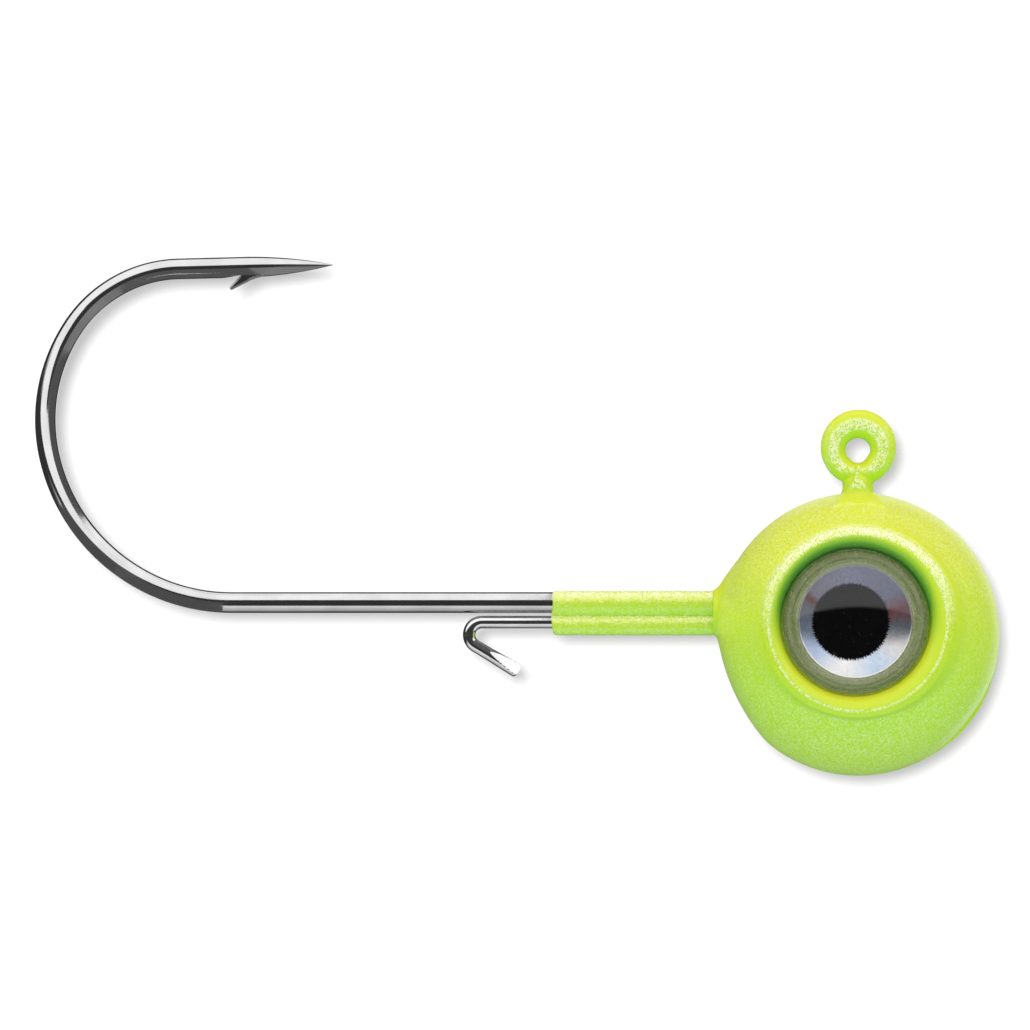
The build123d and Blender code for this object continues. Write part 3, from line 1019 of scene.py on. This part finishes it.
def lathe(name, profile, eye, material, smooth_angle, columns):
    """Turn a profile of radius and height round an eye's axis; it starts and ends near the axis."""
    out, across, up = eye_axes(eye)
    spoke = spokes(circle(columns), across, up)
    rings = [BALL + r * spoke + h * out for r, h in profile]
    return rings_object(name, rings, material, smooth_angle)


STEP_CORNER = 0.035


def rounded_steps(steps):
    """Profile points of a stepped edge, with every outer corner rounded."""
    points = []
    for (radius, height), (next_radius, _) in zip(steps, steps[1:]):
        for a in np.radians(np.linspace(0, 90, 5)):
            points.append((radius - STEP_CORNER * (1 - np.cos(a)), height - STEP_CORNER * (1 - np.sin(a))))
        points.append((next_radius + 0.004, height))
    return points


FOIL_BOND = 0.02  # the moulding holds the foil's face and the pupil with no air between
LENS_GAP = 0.006  # between the moulding and the adhesive under it
PRINT_COLUMNS = 728  # points round the pupil


def lens(eye, material):
    """A dome over a stepped flange, hollow below to take the foil."""
    out = eye_axes(eye)[0]
    low, high, radius = heights_and_radius(f"eye_lens_{eye}", out)
    _, foil_top, foil_r = heights_and_radius(f"eye_foil_{eye}", out)
    base = low + LENS_GAP
    hollow = foil_top - FOIL_BOND
    dome_foot = (radius - 0.42, base + 0.58)
    steps = [(radius, base + 0.35), (radius - 0.16, base + 0.48), (radius - 0.32, base + 0.58), dome_foot]
    profile = [(0.02, hollow), (foil_r + 0.01, hollow), (foil_r + 0.01, base), (radius - 0.03, base),
               (radius, base + 0.03)]
    profile += rounded_steps(steps)
    rise = high - dome_foot[1]
    sphere = (dome_foot[0] ** 2 + rise ** 2) / (2 * rise)
    start = np.arcsin(dome_foot[0] / sphere)
    for a in np.linspace(start, 0.004, 40):
        profile.append((sphere * np.sin(a), high - sphere + sphere * np.cos(a)))
    piece = lathe(f"eye_lens_{eye}", profile, eye, material, 24, 192)
    piece.visible_shadow = False
    return piece


def foil(eye, material):
    out = eye_axes(eye)[0]
    low, high, radius = heights_and_radius(f"eye_foil_{eye}", out)
    profile = [(0.02, low + 0.004), (radius - 0.02, low + 0.004), (radius, low + 0.02),
               (radius, high - 0.015), (radius - 0.015, high), (1.7, high + 0.002),
               (1.0, high - 0.004), (0.02, high - 0.004)]
    return lathe(f"eye_foil_{eye}", profile, eye, material, 40, 160)


def pupil(eye, material):
    """A printed disc whose edge is finely serrated, as screen printing leaves it."""
    out, across, up = eye_axes(eye)
    node = f"eye_pupil_{eye}"
    low, high = box(node)
    centre = (low + high) / 2
    foil_top = heights_and_radius(f"eye_foil_{eye}", out)[1]
    offset = points_of(node) - centre
    radius = np.linalg.norm(offset - np.outer(offset @ out, out), axis=1).max()
    centre = centre - ((centre - BALL) @ out) * out + foil_top * out
    phi = circle(PRINT_COLUMNS)
    rng = np.random.default_rng(11)
    teeth = np.zeros(PRINT_COLUMNS)
    for count, share in ((91, 1.0), (61, 0.35), (143, 0.35), (29, 0.25)):
        teeth += share * np.sin(count * phi + rng.uniform(0, 6))
    edge = radius * (1 + 0.030 * np.clip(teeth, -1.3, 1.3))
    spoke = spokes(phi, across, up)
    rings = [centre + scale * edge[:, None] * spoke + h * out
             for scale, h in ((0.02, 0.004), (1.0, 0.004), (1.0, 0.022), (0.02, 0.022))]
    return rings_object(node, rings, material, 30)


# ---- stage ----

SOFT_BOX = 1.35  # brightness of the main light, as polished surfaces see it
DARK_ROOM = 0.047  # and of everything beside the lights
WALL_Y = 6.0
FLOOR_Z = -24.0
FAR = 400  # how far the wall and the floor reach
LENS_LENGTH = 1600
MARGIN = 1.068  # width of the view against the object's
VIEW_SHIFT = (-0.000085, 0.00004)  # from the object's middle to the view's, in metres


def stage_surface(name, corners, glow, lamp_share):
    """A surface that only the camera sees, and only from its front, so that nothing reflects it."""
    mesh = new_mesh(name, np.array(corners) * MM, [range(len(corners))])
    n = Material(name)
    n.set(Base_Color=rgb(lamp_share, lamp_share, lamp_share), Roughness=1.0, Specular_IOR_Level=0.0,
          Emission_Color=rgb(1, 1, 1.004), Emission_Strength=glow)
    back = n.add("ShaderNodeNewGeometry").outputs["Backfacing"]
    clear = n.add("ShaderNodeBsdfTransparent").outputs[0]
    either = n.fill(n.add("ShaderNodeMixShader"), back, n.shader.outputs[0], clear)
    n.put(n.tree.nodes["Material Output"].inputs["Surface"], either)
    mesh.materials.append(n.material)
    surface = place_object(name, mesh)
    surface.visible_glossy = False
    surface.visible_diffuse = False
    surface.visible_shadow = False
    surface.visible_transmission = False
    surface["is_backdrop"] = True
    return surface


def sun(name, direction, strength, angle, receiver):
    """A distant lamp that lights one surface, and casts the object's shadow on it."""
    data = bpy.data.lights.new(name, "SUN")
    data.energy = strength
    data.angle = np.radians(angle)
    lamp = place_object(name, data)
    lamp.rotation_mode = "QUATERNION"
    lamp.rotation_quaternion = Vector(direction).to_track_quat("-Z", "Y")
    lamp.visible_glossy = False
    group = bpy.data.collections.new(f"{name}_receivers")
    group.objects.link(receiver)
    lamp.light_linking.receiver_collection = group


def studio_world():
    """A white tent lights the paint evenly; polished surfaces see the soft boxes set up inside it.

    Heights are in degrees: 0 is towards the camera, 90 is straight up and -90 straight down.
    """
    world = bpy.data.worlds.new("studio")
    world.use_nodes = True
    world.cycles.sampling_method = "NONE"
    bpy.context.scene.world = world
    n = Nodes(world.node_tree)
    sky = n.tree.nodes["Background"]
    x, y, z = n.xyz(n.add("ShaderNodeTexCoord").outputs["Generated"])
    height = n.times(n.math("ARCTAN2", z, n.times(y, -1.0)), 180 / np.pi)

    def window(value, low, high, soft):
        """1 from low to high, with soft edges."""
        rise = n.span(value, low - soft, low + soft)
        fall = n.span(value, high - soft, high + soft, 1.0, 0.0)
        return n.times(rise, fall)

    above = n.times(window(height, 26, 114, 2.0), window(x, -0.93, 0.88, 0.04))
    below = n.times(window(height, -118, -38, 3.0), window(x, -0.85, 0.85, 0.06))
    fade = n.span(height, -118, -38, 0.30, 1.05)
    corner = n.plus(n.times(x, 0.8), n.times(z, 0.6))
    behind = n.times(n.span(y, 0.80, 0.86), n.span(corner, -0.05, 0.12))
    boxes = n.plus(n.times(above, SOFT_BOX), n.times(below, fade))
    boxes = n.plus(n.plus(boxes, behind), DARK_ROOM)

    tent = n.span(n.plus(z, n.times(y, -0.35)), -1.0, 1.0, 0.82, 1.24)
    path = n.add("ShaderNodeLightPath")
    light = n.mix(n.math("MINIMUM", path.outputs["Diffuse Depth"], 1.0), boxes, tent, "FLOAT")
    n.put(sky.inputs["Strength"], n.mix(path.outputs["Is Camera Ray"], light, 1.0, "FLOAT"))
    sky.inputs["Color"].default_value = rgb(1, 1, 1)


def card(name, corners, glow):
    """A card that only polished surfaces see, from its front, where its corners run anticlockwise."""
    surface = stage_surface(name, corners, glow, 0.0)
    surface.visible_camera = False
    surface.visible_glossy = True
    return surface


def cards():
    """Small cards close to the hook, which shape the reflections that run round its bend."""
    rear = HOOK_LOW[0]
    lit = [(5.4, 6.9), (1.0, 7.5), (-1.0, 10.9), (-0.5, 13.9), (-14, 18.9), (-14, 12.9), (-4.7, 5.1),
           (-1.0, 1.9), (3.0, 1.3), (7.4, 2.3), (5.4, 4.0)]
    card("bend_light", [(rear + x, -6.0, SHANK_Z + z) for x, z in reversed(lit)], SOFT_BOX)
    card("under_flag", level(rear - 10, rear + 7.2, SHANK_Z - 2, -60, 10), 0.115)
    card("inner_flag", level(rear + 2.9, rear + 9.5, SHANK_Z + 1, -60, 10), 0.135)
    card("point_flag", level(rear + 9.5, rear + 26, SHANK_Z + 1, -60, 10), 0.30)
    side = [(10, 0.7), (-60, 0.7), (-60, 16), (10, 16)]
    card("ball_flag", [(rear + 20.1, y, SHANK_Z + z) for y, z in side], 0.12)


def level(low_x, high_x, z, low_y, high_y):
    """Corners of a level card that faces up."""
    return [(low_x, low_y, z), (high_x, low_y, z), (high_x, high_y, z), (low_x, high_y, z)]


def stage():
    """A wall behind the object and a floor below it, each with its own shadow lamp."""
    upright = [(-FAR, WALL_Y, FLOOR_Z), (FAR, WALL_Y, FLOOR_Z), (FAR, WALL_Y, FAR), (-FAR, WALL_Y, FAR)]
    wall = stage_surface("backdrop", upright, 0.46, 0.1)
    floor = stage_surface("floor", level(-FAR, FAR, FLOOR_Z, -FAR, FAR), 0.56, 0.1)
    sun("drop_shadow", (0.050, 1, -0.050), 17.5, 6.5, wall)
    sun("floor_shadow", (0.10, -0.30, -1), 15.0, 25, floor)
    cards()


def camera():
    """A long lens square to the hook's plane, framed as a product shot."""
    low, high = [np.array(corner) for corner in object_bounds()]
    centre = (low + high) / 2
    data = bpy.data.cameras.new("camera")
    data.sensor_width = 36
    data.lens = LENS_LENGTH
    view_width = (high[0] - low[0]) * MARGIN
    distance = view_width * data.lens / data.sensor_width
    cam = place_object("camera", data)
    cam.location = (centre[0] + VIEW_SHIFT[0], -distance, centre[2] + VIEW_SHIFT[1])
    cam.rotation_euler = (np.pi / 2, 0, 0)
    data.clip_start = 0.1
    data.clip_end = 30
    bpy.context.scene.camera = cam


# ---- assembly ----

def stand_for(piece, node):
    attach(piece, "root")
    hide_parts(node)


def build():
    paint = pearl_paint()
    dark_plate = plated_wire("black_nickel", rgb(0.62, 0.62, 0.627), 0.07)
    bright_plate = plated_wire("bright_wire", rgb(0.76, 0.76, 0.767), 0.09)
    stand_for(hook(dark_plate), "hook")
    stand_for(keeper_wire(bright_plate), "keeper_wire")
    stand_for(head_coat(paint), "head_coat")
    stand_for(collar_coat(paint), "collar_coat")
    stand_for(line_tie_coat(paint), "line_tie_coat")
    clear = clear_moulding()
    ink = pupil_ink()
    glue = adhesive()
    for eye in ("right", "left"):
        stand_for(lens(eye, clear), f"eye_lens_{eye}")
        stand_for(foil(eye, holographic_foil(eye)), f"eye_foil_{eye}")
        stand_for(pupil(eye, ink), f"eye_pupil_{eye}")
        frame["nodes"][f"eye_adhesive_{eye}"].data.materials[0] = glue
    frame["nodes"]["lead_ball"].data.materials[0] = cast_lead()


build()
studio_world()
stage()
camera()
bpy.context.scene.view_settings.view_transform = "Standard"
